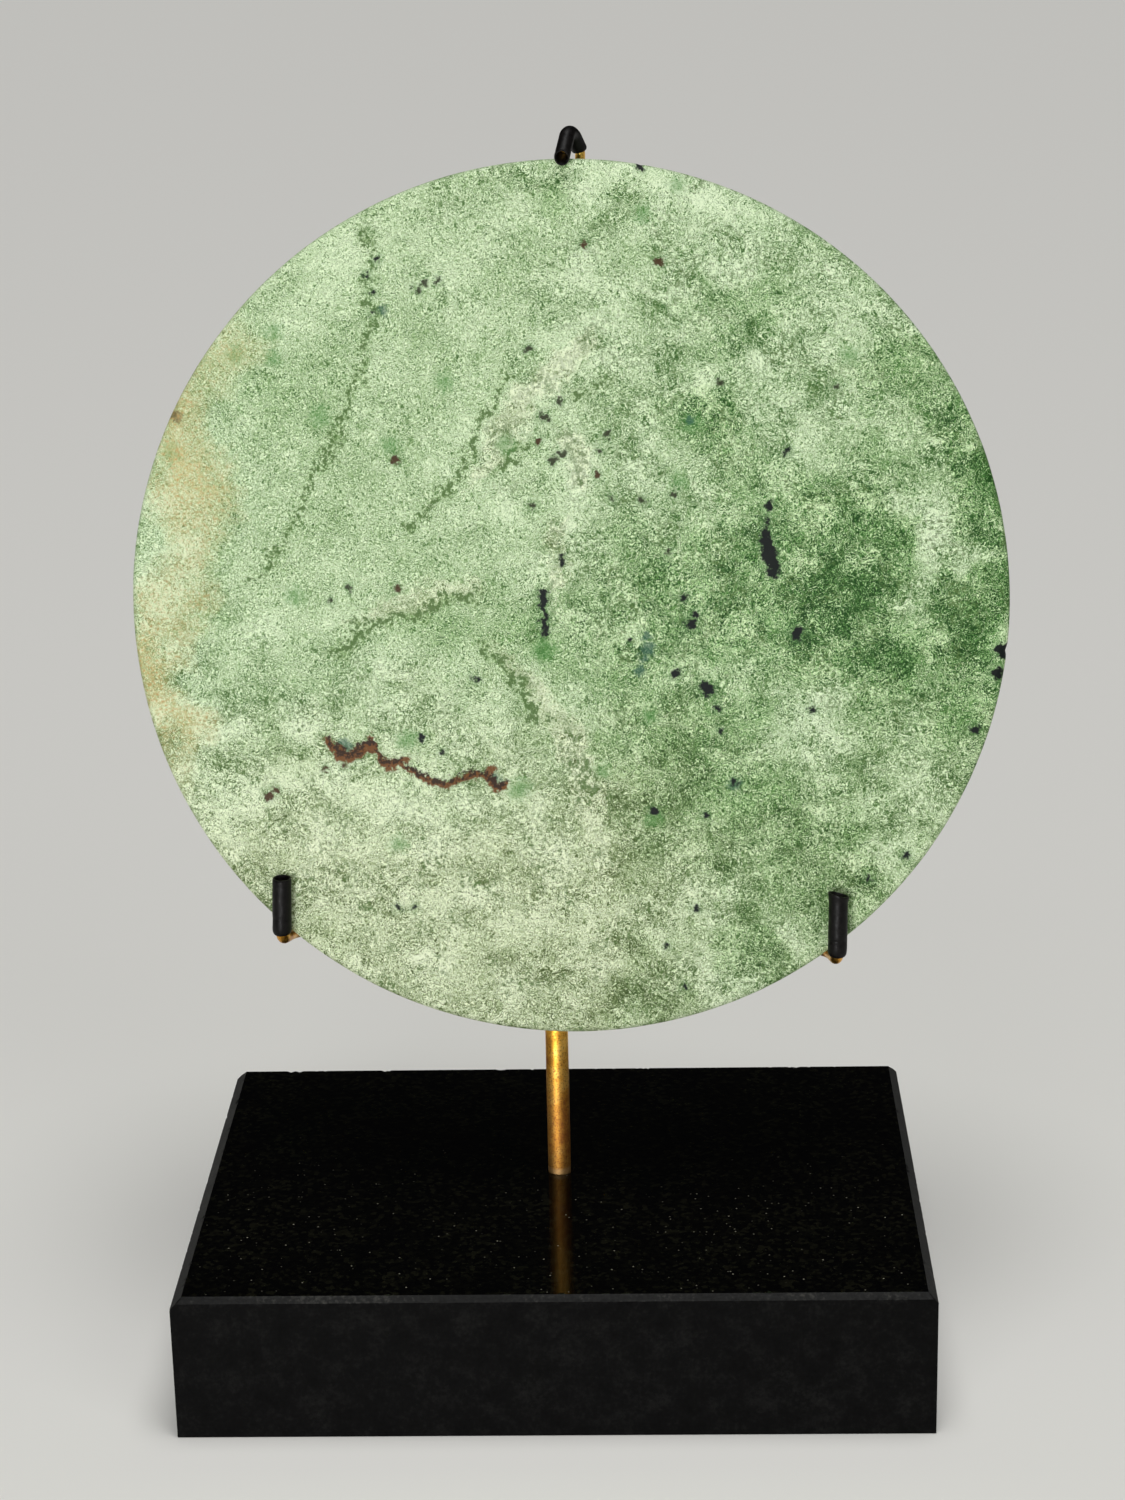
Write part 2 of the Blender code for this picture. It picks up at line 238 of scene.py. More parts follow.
# Polished black granite: near black, with a faint olive cast from its feldspar and many tiny flecks of mica,
# under a mirror polish.
# The flecks are pale mica with their sparkle painted in as glints. They are drawn coarser than life, or none
# would show, and painted fewer towards the back, where the polish mirrors the dark room.
polished, shader = start_material("black_granite_polished")
place = millimetres(polished)
cloud = add(polished, "TexNoise", {"Vector": place, "Scale": 1 / CLOUD_MM, "Detail": 4})["Fac"]
grain = add(polished, "TexVoronoi", {"Vector": place, "Scale": 1 / GRAIN_MM})
tint = add(polished, "SeparateColor", {0: grain["Color"]})
cloud = add(polished, "Math MULTIPLY", {0: cloud, 1: 0.5})[0]
mixed = add(polished, "Math MULTIPLY_ADD", {0: tint["Red"], 1: 0.75, 2: cloud})[0]
stone = add(polished, "ValToRGB", {0: mixed}, stops=[(0.5, "#020202"), (0.8, "#060604"),
                                                     (1, "#12120B")])["Color"]
fleck = add(polished, "TexVoronoi", {"Vector": place, "Scale": 1 / FLECK_MM})
rare = add(polished, "SeparateColor", {0: fleck["Color"]})
axes = add(polished, "SeparateXYZ", {0: place})
# Painted light: the glints are painted fewer towards the back of the top.
glints_fewer_to_back = add(polished, "MapRange", {"Value": axes["Y"]}, span=(34, -20, 0.97, 0.76))[0]
mica_and_painted_glint = add(polished, "Math SUBTRACT", {0: rare["Green"], 1: glints_fewer_to_back})[0]
mica_and_painted_glint = add(polished, "MapRange", {"Value": mica_and_painted_glint}, span=(0, 0.3, 0, 1))[0]
mica_and_painted_glint = add(polished, "Math POWER", {0: mica_and_painted_glint, 1: 2})[0]
small = add(polished, "MapRange", {"Value": fleck["Distance"]}, span=(0.18, 0.07))[0]
mica_and_painted_glint = add(polished, "Math MULTIPLY", {0: mica_and_painted_glint, 1: small})[0]
# The flecks: partly the mica's own pale colour, partly painted highlight of its sparkle.
colour = add(polished, "Mix RGBA", {0: mica_and_painted_glint, 6: stone, 7: "#BDB9A4"})[2]
feed(shader, {"Base Color": colour, "Roughness": 0.09, "IOR": 1.5, "Specular IOR Level": 0.15})

# Ground granite: the wheel has broken the crystals, so the edges look pale grey and mottled.
ground, shader = start_material("black_granite_ground")
place = millimetres(ground)
mottle = add(ground, "TexNoise", {"Vector": place, "Scale": 1 / GRAIN_MM, "Detail": 5,
                                  "Roughness": 0.65})["Fac"]
uneven = add(ground, "TexNoise", {"Vector": place, "Scale": 0.5 / CLOUD_MM, "Detail": 2})["Fac"]
uneven = add(ground, "Math MULTIPLY_ADD", {0: uneven, 1: 0.8, 2: -0.46})[0]
mottle = add(ground, "Math ADD", {0: mottle, 1: uneven})[0]
colour = add(ground, "ValToRGB", {0: mottle}, stops=[(0.3, "#070706"), (0.52, "#131312"),
                                                     (0.76, "#3A3935")])["Color"]
bump = add(ground, "Bump", {"Height": mottle, "Strength": 0.5, "Distance": 0.15 * MM})[0]
feed(shader, {"Base Color": colour, "Roughness": 0.55, "Specular IOR Level": 0.15, "Normal": bump})

# Honed granite: rubbed flat but not polished, a dull grey black with cloudy patches.
honed, shader = start_material("black_granite_honed")
place = millimetres(honed)
cloud = add(honed, "TexNoise", {"Vector": place, "Scale": 2.5 / CLOUD_MM, "Detail": 7,
                                "Roughness": 0.78})["Fac"]
grit = add(honed, "TexNoise", {"Vector": place, "Scale": 1 / GRAIN_MM, "Detail": 3, "Roughness": 0.7})["Fac"]
mixed = add(honed, "Math MULTIPLY_ADD", {0: grit, 1: 0.5, 2: cloud})[0]
colour = add(honed, "ValToRGB", {0: mixed}, stops=[(0.5, "#020202"), (0.76, "#080808"),
                                                   (1, "#181817")])["Color"]
roughness = add(honed, "MapRange", {"Value": mixed}, span=(0.5, 1, 0.42, 0.6))[0]
bump = add(honed, "Bump", {"Height": grit, "Strength": 0.25, "Distance": 0.05 * MM})[0]
feed(shader, {"Base Color": colour, "Roughness": roughness, "IOR": 1.5, "Specular IOR Level": 0.05,
              "Normal": bump})

add_piece("granite_block", block_form(random.Random(11)), [polished, ground, honed],
          "granite_base", sharp_angle=30)


# ---- The post ----
# A round brass rod, drawn to size and left bare. It stands in the block's hole, and above the block it
# leans back with the disc, whose weight it carries.

DISC_DIAMETER = 176.3 * MM
DISC_THICKNESS = 8 * MM
DISC_LEAN = math.radians(9)
DISC_TURN = math.radians(-1)
DISC_CENTRE = Vector((4.298 * MM, 7.295 * MM, 153.065 * MM))
DISC_SHIFT = 4.2 * MM
POST_RADIUS = 2.375 * MM
POST_FOOT = BLOCK_HEIGHT - 13.7 * MM
POST_BEND_UP = 8.5 * MM - DISC_DIAMETER / 2
POST_BEND_RADIUS = 25 * MM
POST_BEHIND = DISC_THICKNESS / 2 + 0.5 * MM + POST_RADIUS
ARM_RADIUS = 1.35 * MM
CLEARANCE = 0.3 * MM
ARM_UNDER_RIM = DISC_DIAMETER / 2 + CLEARANCE + ARM_RADIUS
LEFT_FOOT_ANGLE = math.radians(41.3)
RIGHT_FOOT_ANGLE = math.radians(36.6)
ARMS_JOIN_UP = 8 * MM - ARM_UNDER_RIM * math.cos(LEFT_FOOT_ANGLE)
POST_TOP_UP = ARMS_JOIN_UP + 42 * MM
POST_SIDES = 40
FINE_ARC = math.radians(5)
ROD_STEP = 3 * MM

seat = Matrix.Translation(DISC_CENTRE) @ Euler((-DISC_LEAN, 0, DISC_TURN)).to_matrix().to_4x4()


def rounded_path(corners, radii):
    """Points along straight runs through the corners, with an arc of the given radius at each inner one."""
    corners = [Vector(corner) for corner in corners]
    points = [corners[0]]
    for before, corner, after, radius in zip(corners, corners[1:], corners[2:], radii):
        arriving = (corner - before).normalized()
        leaving = (after - corner).normalized()
        turn = arriving.angle(leaving)
        start = corner - arriving * radius * math.tan(turn / 2)
        inward = (leaving - arriving * leaving.dot(arriving)).normalized()
        centre = start + inward * radius
        steps = max(2, math.ceil(turn / FINE_ARC))
        for i in range(steps + 1):
            angle = turn * i / steps
            points.append(centre + radius * (arriving * math.sin(angle) - inward * math.cos(angle)))
    points.append(corners[-1])
    return points


def divided(points, step):
    """The same path with more points, no further apart than a step."""
    fine = [points[0]]
    for a, b in zip(points, points[1:]):
        count = max(1, math.ceil((b - a).length / step))
        fine += [a.lerp(b, (i + 1) / count) for i in range(count)]
    return fine


def travelled(points):
    """How far along the path each point is."""
    far = [0]
    for a, b in zip(points, points[1:]):
        far.append(far[-1] + (b - a).length)
    return far


def cross_frames(points):
    """At each point of a path, two directions across it, carried along without twist."""
    side = (points[1] - points[0]).orthogonal().normalized()
    frames = []
    for i, point in enumerate(points):
        before = point - points[max(i - 1, 0)] if i else points[1] - point
        after = points[min(i + 1, len(points) - 1)] - point if i < len(points) - 1 else before
        direction = (before.normalized() + after.normalized()).normalized()
        side = (side - direction * side.dot(direction)).normalized()
        frames.append((side, direction.cross(side)))
    return frames


def swept(form, points, radii, sides):
    """Loops of vertices along a path, each with its own radius, joined into a skin."""
    rings = []
    for point, (side, other), radius in zip(points, cross_frames(points), radii):
        rings.append([form.verts.new(point + radius * (side * cos + other * sin))
                      for cos, sin in round_steps(sides)])
    for ring, next_ring in zip(rings, rings[1:]):
        join_rings(form, ring, next_ring)
    return rings


def rod_form(points, radius, sides, filed):
    """A solid rod. Its last cut end is filed round by the given amount."""
    points = divided(points, ROD_STEP)
    last = (points[-1] - points[-2]).normalized()
    points[-1:] = [points[-1] - last * back for back in (filed, filed * 0.3, 0)]
    radii = [radius] * (len(points) - 3) + [radius, radius - filed * 0.3, radius - filed]
    form = bmesh.new()
    rings = swept(form, points, radii, sides)
    form.faces.new(rings[0])
    form.faces.new(rings[-1])
    return form


bend = seat @ Vector((-DISC_SHIFT, POST_BEHIND, POST_BEND_UP))
post_top = seat @ Vector((-DISC_SHIFT, POST_BEHIND, POST_TOP_UP))
post_line = rounded_path([(bend.x, bend.y, POST_FOOT), bend, post_top], [POST_BEND_RADIUS])

# Drawn brass: a warm yellow metal, pulled through a die, so fine lines run along it. Handling has toned it
# unevenly towards brown, in specks. The post's lower part is also painted darker and browner, as painted shade
# where it would mirror the black granite top, and a pale band is painted round the post's foot.
brass, shader = start_material("drawn_brass")
place = millimetres(brass)
tone = add(brass, "TexNoise", {"Vector": place, "Scale": 1 / 6, "Detail": 5, "Roughness": 0.7})["Fac"]
lines_place = add(brass, "Mapping", {"Vector": place, "Scale": (1, 1, 0.06)})[0]
die_lines = add(brass, "TexNoise", {"Vector": lines_place, "Scale": 1 / 0.3, "Detail": 2})["Fac"]
freckle = add(brass, "TexNoise", {"Vector": place, "Scale": 1 / 0.35, "Detail": 2})["Fac"]
freckle = add(brass, "MapRange", {"Value": freckle}, span=(0.52, 0.68, 0, 0.75))[0]
colour = add(brass, "ValToRGB", {0: tone}, stops=[(0.34, "#B8752B"), (0.48, "#EBAE42"),
                                                  (0.62, "#FFD06A")])["Color"]
colour = add(brass, "Mix RGBA", {0: freckle, 6: colour, 7: "#8E5A22"})[2]
axes = add(brass, "SeparateXYZ", {0: place})
# Painted shade: the post is painted darker and browner towards its foot, with the brown specks added on.
specks_and_painted_shade = add(brass, "MapRange", {"Value": axes["Z"]}, span=(60, 44, 0, 0.6))[0]
specks_and_painted_shade = add(brass, "Math MULTIPLY_ADD", {0: freckle, 1: 0.5, 2: specks_and_painted_shade}, use_clamp=True)[0]
lower_post_only = add(brass, "MapRange", {"Value": axes["Z"]}, span=(64, 58))[0]
specks_and_painted_shade = add(brass, "Math MULTIPLY", {0: specks_and_painted_shade, 1: lower_post_only})[0]
colour = add(brass, "Mix RGBA", {0: specks_and_painted_shade, 6: colour, 7: "#8F5C33"})[2]
# A pale band painted round the post just above the block.
pale_foot_band = add(brass, "MapRange", {"Value": axes["Z"]}, span=(BLOCK_HEIGHT / MM + 1.5, BLOCK_HEIGHT / MM + 0.9, 0,
                                                          0.6))[0]
colour = add(brass, "Mix RGBA", {0: pale_foot_band, 6: colour, 7: "#CBAA78"})[2]
roughness = add(brass, "MapRange", {"Value": die_lines}, span=(0.3, 0.7, 0.3, 0.42))[0]
roughness = add(brass, "Math MULTIPLY_ADD", {0: specks_and_painted_shade, 1: 0.3, 2: roughness})[0]
bump = add(brass, "Bump", {"Height": die_lines, "Strength": 0.15, "Distance": 0.02 * MM})[0]
feed(shader, {"Base Color": colour, "Metallic": 1, "Roughness": roughness, "Normal": bump})

post = add_piece("post", rod_form(post_line, POST_RADIUS, POST_SIDES, 0.35 * MM), [brass],
                 "brass_post")


# ---- The two arms ----
# Thinner brass rods, silver-soldered to the post's sides low behind the disc. Each runs out under the
# rim and turns up in front of it as a prong. The solder shows as a pale collar at the joint.

DISC_CROWN = 1.5 * MM
RIM_ROUND = 1.3 * MM
FLAT_RADIUS = DISC_DIAMETER / 2 - RIM_ROUND
ARM_LEVEL_RUN = 3 * MM
ARM_TOE_IN = 1.6 * MM
PRONG_DRIFT = 0.3 * MM
SLEEVE_OVERHANG = 2.5 * MM
ARM_BENDS = [2.6 * MM, 4.5 * MM, 10 * MM]
LEFT_MOUTH_RISE = 12.6 * MM
RIGHT_MOUTH_RISE = 13.4 * MM
PRONG_SLEEVE_RADIUS = 2 * MM
RIGHT_FLARE = 0.3 * MM
ROD_SIDES = 28
SOLDER_REACH = 1.6 * MM
SOLDER_SWELL = 0.9 * MM
COLLAR_STEPS = 8


def face_height(radius):
    """Height of the disc's crowned face over its middle plane, at a distance from its axis."""
    return DISC_THICKNESS / 2 - DISC_CROWN * (radius / FLAT_RADIUS) ** 2


def foot_of(side, angle, along=0):
    """Where an arm passes under the rim, or a little way along the rim's tangent from there."""
    return (side * (ARM_UNDER_RIM * math.sin(angle) - along * math.cos(angle)),
            -ARM_UNDER_RIM * math.cos(angle) - along * math.sin(angle))


def arm_line(side, angle, mouth_rise, sleeve_radius):
    """From the sleeve's mouth down in front of the disc, back under its rim and in to the post's side."""
    across, up = foot_of(side, angle)
    back_across, back_up = foot_of(side, angle, ARM_TOE_IN)
    before = face_height(math.hypot(across, up + mouth_rise)) + CLEARANCE + sleeve_radius
    joint_across = -DISC_SHIFT + side * (POST_RADIUS - 0.5 * MM)
    return rounded_path([(across + PRONG_DRIFT, -before, up + mouth_rise), (across, -before, up),
                         (back_across, POST_BEHIND, back_up),
                         (joint_across + side * ARM_LEVEL_RUN, POST_BEHIND, ARMS_JOIN_UP),
                         (joint_across, POST_BEHIND, ARMS_JOIN_UP)], ARM_BENDS)


def stretch_of(points, start, end):
    """The part of a path between two distances along it."""
    far = travelled(points)
    inner = [p for p, d in zip(points, far) if start + 0.1 * MM < d < end - 0.1 * MM]
    ends = []
    for cut in (start, min(end, far[-1])):
        i = max(j for j in range(len(far) - 1) if far[j] <= cut)
        ends.append(points[i].lerp(points[i + 1], (cut - far[i]) / (far[i + 1] - far[i])))
    return [ends[0], *inner, ends[1]]


def soldered_arm(line, side):
    """An arm with its collar of solder, which widens to hug the post."""
    points = divided(stretch_of(line, SLEEVE_OVERHANG, travelled(line)[-1]), ROD_STEP)
    form = bmesh.new()
    rings = swept(form, points, [ARM_RADIUS] * len(points), ROD_SIDES)
    form.faces.new(rings[0])
    form.faces.new(rings[-1])
    collar = []
    for i in range(COLLAR_STEPS + 1):
        share = i / COLLAR_STEPS
        out = POST_RADIUS - CLEARANCE + SOLDER_REACH * share
        swell = ARM_RADIUS + 0.02 * MM + SOLDER_SWELL * (1 - share) ** 2.2
        centre = Vector((-DISC_SHIFT + side * out, POST_BEHIND, ARMS_JOIN_UP))
        collar.append([form.verts.new(centre + Vector((0, swell * 0.82 * cos, swell * sin)))
                       for cos, sin in round_steps(ROD_SIDES)])
    for ring, next_ring in zip(collar, collar[1:]):
        join_rings(form, ring, next_ring, 1)
    for ring in (collar[0], collar[-1]):
        form.faces.new(ring).material_index = 1
    return form


# Silver solder: a pale grey metal that has run round the joint, satin and a little lumpy.
solder, shader = start_material("silver_solder")
place = millimetres(solder)
lumps = add(solder, "TexNoise", {"Vector": place, "Scale": 1 / 0.8, "Detail": 3})["Fac"]
colour = add(solder, "ValToRGB", {0: lumps}, stops=[(0.3, "#8B7C5C"), (0.7, "#BDB6A2")])["Color"]
bump = add(solder, "Bump", {"Height": lumps, "Strength": 0.5, "Distance": 0.2 * MM})[0]
feed(shader, {"Base Color": colour, "Metallic": 1, "Roughness": 0.38, "Normal": bump})

left_line = arm_line(-1, LEFT_FOOT_ANGLE, LEFT_MOUTH_RISE, PRONG_SLEEVE_RADIUS)
right_line = arm_line(1, RIGHT_FOOT_ANGLE, RIGHT_MOUTH_RISE, PRONG_SLEEVE_RADIUS + RIGHT_FLARE)
add_piece("arm_left", soldered_arm(left_line, -1), [brass, solder], "brass_arm_left", place=seat)
add_piece("arm_right", soldered_arm(right_line, 1), [brass, solder], "brass_arm_right", place=seat)


# ---- The top rod ----
# The thinnest brass rod, soldered along the post's upper end. It runs up behind the disc and bends
# forward over the rim as a hook, which keeps the disc from falling forward.

TOP_ROD_RADIUS = 1 * MM
TOP_ROD_BENDS = [2.4 * MM, 2.4 * MM, 30 * MM]
LAP_ACROSS = -DISC_SHIFT + POST_RADIUS + TOP_ROD_RADIUS + CLEARANCE
LAP_LENGTH = 24 * MM
# The fillet of solder: how far down the lap, as a share of its length, and the half thickness there in mm.
FILLET = [(0.03, 0.25), (0.06, 0.6), (0.15, 0.8), (0.3, 0.85), (0.45, 0.8), (0.6, 0.86), (0.75, 0.8),
          (0.88, 0.82), (0.95, 0.6), (0.98, 0.25)]
top_line = rounded_path([(-0.1 * MM, -4.6 * MM, DISC_DIAMETER / 2 - 0.1 * MM),
                         (1.2 * MM, 1 * MM, DISC_DIAMETER / 2 + 6 * MM),
                         (3.2 * MM, 4.3 * MM, DISC_DIAMETER / 2 + 1.5 * MM),
                         (LAP_ACROSS, POST_BEHIND, POST_TOP_UP),
                         (LAP_ACROSS, POST_BEHIND, POST_TOP_UP - LAP_LENGTH)], TOP_ROD_BENDS)


def lapped_rod(line):
    """The rod, and the fillet of solder in the groove between it and the post."""
    form = rod_form(stretch_of(line, SLEEVE_OVERHANG, travelled(line)[-1]), TOP_ROD_RADIUS, ROD_SIDES,
                    0.2 * MM)
    groove_across = LAP_ACROSS - TOP_ROD_RADIUS - CLEARANCE / 2
    points = [Vector((groove_across, POST_BEHIND, POST_TOP_UP - LAP_LENGTH * share)) for share, _ in FILLET]
    rings = swept(form, points, [thick * MM for _, thick in FILLET], ROD_SIDES)
    for ring in (rings[0], rings[-1]):
        form.faces.new(ring)
    filled = {vertex for ring in rings for vertex in ring}
    for face in form.faces:
        if all(vertex in filled for vertex in face.verts):
            face.material_index = 1
    return form


add_piece("top_rod", lapped_rod(top_line), [brass, solder], "brass_top_rod", place=seat)


# ---- The sleeves ----
# Black heat-shrink tube on the ends of the prongs and the hook, so that the metal never touches the
# stone. It was cut with a knife and shrunk on with hot air, so the mouths are uneven and slightly open.

TOP_SLEEVE_RADIUS = 1.6 * MM
SLEEVE_WALL = 0.42 * MM
SLEEVE_SIDES = 36
SLEEVE_STEP = 0.3 * MM
LIP_ROUND = 0.12 * MM
LIP_LENGTH = 0.3 * MM
FLARE_LENGTH = 1.6 * MM
WRINKLE = 0.05 * MM
MOUTH_WOBBLE = 0.12 * MM
MOUTH_TRIM = 0.08 * MM


def sleeve_form(line, outer, flare, seed, length, mouth_drop, crease):
    """A tube with a lip, cut aslant at its mouth and creased across where the rod bends. A crease is given
    by how far along it lies, its half width and its depth."""
    crease_at, crease_width, crease_depth = (size * MM for size in crease)
    points = divided(stretch_of(line, 0, length * MM), SLEEVE_STEP)
    far = travelled(points)
    frames = cross_frames(points)
    axis = (points[1] - points[0]).normalized()
    slope = Vector((mouth_drop[0] * MM, -mouth_drop[1] * MM, 0)) / (2 * outer)
    form = bmesh.new()
    walls = []
    for depth, ends in ((0, LIP_ROUND), (SLEEVE_WALL, -LIP_ROUND)):
        wall = []
        for point, (side, other), d in zip(points, frames, far):
            ring = []
            depth_here = crease_depth * math.exp(-((d - crease_at) / crease_width) ** 2)
            fall = max(0, 1 - d / SLEEVE_OVERHANG)
            for cos, sin in round_steps(SLEEVE_SIDES):
                out = side * cos + other * sin
                radius = outer - depth + flare * max(0, 1 - d / FLARE_LENGTH) ** 1.5
                radius -= WRINKLE * (1 + space_noise.noise((point + out * outer) * 900 + Vector((seed, 0, 0))))
                radius -= depth_here * max(0, -out.y) ** 0.5
                radius -= ends * max(0, 1 - min(d, far[-1] - d) / LIP_LENGTH)
                reach = out * radius
                wobble = MOUTH_WOBBLE * space_noise.noise(out * 1.7 + Vector((seed, seed, 0)))
                back = slope.dot(reach) + wobble + MOUTH_TRIM
                ring.append(form.verts.new(point + reach + axis * fall * back))
            wall.append(ring)
        walls.append(wall)
        for ring, next_ring in zip(wall, wall[1:]):
            join_rings(form, ring, next_ring)
    for end in (0, -1):
        join_rings(form, walls[0][end], walls[1][end])
    return form


# Polyolefin heat-shrink: a dull black plastic, with a faint sheen where it is stretched smooth.
shrink, shader = start_material("black_heat_shrink")
place = millimetres(shrink)
scuffs = add(shrink, "TexNoise", {"Vector": place, "Scale": 1 / 0.5, "Detail": 4})["Fac"]
colour = add(shrink, "ValToRGB", {0: scuffs}, stops=[(0.35, "#080707"), (0.75, "#171514")])["Color"]
roughness = add(shrink, "MapRange", {"Value": scuffs}, span=(0.3, 0.7, 0.34, 0.52))[0]
bump = add(shrink, "Bump", {"Height": scuffs, "Strength": 0.3, "Distance": 0.06 * MM})[0]
feed(shader, {"Base Color": colour, "Roughness": roughness, "Specular IOR Level": 0.14, "Normal": bump})

# For each: the rod's line, the radius, the flare, a seed for its wrinkles, and then in mm its length, how
# far its mouth is cut back across and in front, and its crease.
SLEEVES = [
    ("left", left_line, PRONG_SLEEVE_RADIUS, 0, 1, 11.3, (0, 0.7), (8.4, 0.5, 0.1)),
    ("right", right_line, PRONG_SLEEVE_RADIUS, RIGHT_FLARE, 5, 12.3, (0.9, 0), (9.6, 0.35, 0.16)),
    ("top", top_line, TOP_SLEEVE_RADIUS, 0, 9, 12.7, (0, 2.1), (5.2, 0.4, 0.08)),
]
for side, *sizes in SLEEVES:
    add_piece("shrink_" + side, sleeve_form(*sizes), [shrink], "sleeve_" + side, place=seat)


# ---- The greenstone disc ----
# A plain disc of mottled nephrite, sawn, ground flat by hand and rubbed to a soft polish, with the rim
# rounded over. Veins, healed cracks and specks of iron ore run through the stone.

RIM_HALF = 0.4 * MM
ROUND_STEPS = 7
DISC_SECTORS = 720
FACE_RINGS = 34
RIM_NICKS = [(86.7, -9.8, 1.3), (85.6, -14.5, 1), (-78.2, 38.5, 0.8), (15, 86.6, 0.6)]


def disc_ring(form, radius, behind):
    """One loop of the disc, a little uneven, so that the faces and rim look ground by hand."""
    ring = []
    for across, up in round_steps(DISC_SECTORS):
        place = Vector((across * radius, behind, up * radius))
        waves = space_noise.noise(place * 34) + 0.5 * space_noise.noise(place * 90)
        wear = 0.12 * MM * (1 + space_noise.noise(Vector((across * 3.1, up * 3.1, 4)))) / 2
        wear += 0.05 * MM * (1 + space_noise.noise(Vector((across * 19, up * 19, behind * 400)))) / 2
        inward = wear * (radius / FLAT_RADIUS) ** 8
        for nick_across, nick_up, size in RIM_NICKS:
            near = math.hypot(across * radius / MM - nick_across, up * radius / MM - nick_up) / size
            inward += 0.45 * size * MM * max(0, 1 - near * near)
        reach = radius - min(inward, radius)
        flat = 0.05 * MM * (1.5 + waves) / 3
        ring.append(form.verts.new((across * reach, behind - math.copysign(flat, behind), up * reach)))
    return ring


def disc_form():
    """The disc, ring by ring: out over its face, round the rim and back over the other face."""
    radii = [FLAT_RADIUS * (1 - (1 - i / FACE_RINGS) ** 1.35) for i in range(1, FACE_RINGS + 1)]
    half = [(radius, face_height(radius)) for radius in radii]
    for i in range(1, ROUND_STEPS + 1):
        angle = math.pi / 2 * i / ROUND_STEPS
        half.append((FLAT_RADIUS + RIM_ROUND * math.sin(angle),
                     face_height(FLAT_RADIUS) - RIM_ROUND * (1 - math.cos(angle))))
    outline = [(r, -h) for r, h in half] + [(DISC_DIAMETER / 2, -RIM_HALF), (DISC_DIAMETER / 2, RIM_HALF)]
    outline += [(r, h) for r, h in reversed(half)]
    form = bmesh.new()
    rings = [disc_ring(form, radius, behind) for radius, behind in outline]
    for ring, next_ring in zip(rings, rings[1:]):
        join_rings(form, ring, next_ring)
    for ring, behind in ((rings[0], -DISC_THICKNESS / 2), (rings[-1], DISC_THICKNESS / 2)):
        middle = form.verts.new((0, behind * 0.992, 0))
        for i in range(DISC_SECTORS):
            form.faces.new((ring[i], ring[(i + 1) % DISC_SECTORS], middle))
    return form


# Nephrite: felted green fibres, paler where they are weathered, with a fine sugary grain and a soft,
# slightly waxy polish. Its markings are placed in mm across and up from the disc's centre.
jade, shader = start_material("nephrite")
stone_place = add(jade, "Mapping", {"Vector": millimetres(jade), "Location": DISC_CENTRE / MM,
                                    "Rotation": (-DISC_LEAN, 0, DISC_TURN)}, vector_type="TEXTURE")[0]
axes = add(jade, "SeparateXYZ", {0: stone_place})
on_face = add(jade, "CombineXYZ", {"X": axes["X"], "Y": axes["Z"]})[0]


def stirred(place, feature_mm, reach_mm):
    """The same coordinates pushed about by noise."""
    push = add(jade, "TexNoise", {"Vector": stone_place, "Scale": 1 / feature_mm, "Detail": 4,
                                  "Roughness": 0.62})["Color"]
    push = add(jade, "VectorMath SUBTRACT", {0: push, 1: (0.5, 0.5, 0.5)})[0]
    return add(jade, "VectorMath MULTIPLY_ADD", {0: push, 1: (reach_mm, reach_mm, 0), 2: place})[0]


# The broad clouds, the veins and the specks each have coordinates of their own, stirred to suit.
cloud_place = stirred(on_face, 18, 38)
vein_place = stirred(stirred(on_face, 7, 10), 2.2, 5)
speck_place = stirred(on_face, 1.5, 3.6)
vein_axes = add(jade, "SeparateXYZ", {0: vein_place})
u, v = vein_axes["X"], vein_axes["Y"]
speck_axes = add(jade, "SeparateXYZ", {0: speck_place})
near_u, near_v = speck_axes["X"], speck_axes["Y"]
crumbs = add(jade, "TexNoise", {"Vector": stone_place, "Scale": 1 / 0.85, "Detail": 3, "Roughness": 0.7})["Fac"]
broken_up = add(jade, "Math SUBTRACT", {0: crumbs, 1: 0.5})[0]


def turned(place, degrees):
    """The same coordinates, turned about the disc's centre."""
    cos, sin = math.cos(math.radians(degrees)), math.sin(math.radians(degrees))
    along = add(jade, "VectorMath DOT_PRODUCT", {0: place, 1: (cos, sin, 0)})[1]
    across = add(jade, "VectorMath DOT_PRODUCT", {0: place, 1: (-sin, cos, 0)})[1]
    return add(jade, "CombineXYZ", {"X": along, "Y": across})[0]


# Most patches lie level. The others share two turns, and all use plain sums, which render far faster
# than a mapping node and a gradient for each.
turned_places = {0: cloud_place, 35: turned(cloud_place, 35), -40: turned(cloud_place, -40)}


def patches(places, start):
    """Soft oval patches added up: across, up, half width, half height, strength in hundredths, which fades
    from the middle to nothing at the patch's edge, and for some a turn in degrees."""
    total = start + sum(place[4] for place in places) / 100
    for across, up, half_width, half_height, strength, *turns in places:
        turn = sum(turns)
        centre = Matrix.Rotation(math.radians(-turn), 2) @ Vector((across, up))
        shrunk = (1 / half_width, 1 / half_height, 0)
        local = add(jade, "VectorMath MULTIPLY", {0: turned_places[turn], 1: shrunk})[0]
        middle = (centre.x / half_width, centre.y / half_height, 0)
        off = add(jade, "VectorMath DISTANCE", {0: local, 1: middle})[1]
        off = add(jade, "Math MINIMUM", {0: off, 1: 1})[0]
        total = add(jade, "Math MULTIPLY_ADD", {0: off, 1: -strength / 100, 2: total})[0]
    return total


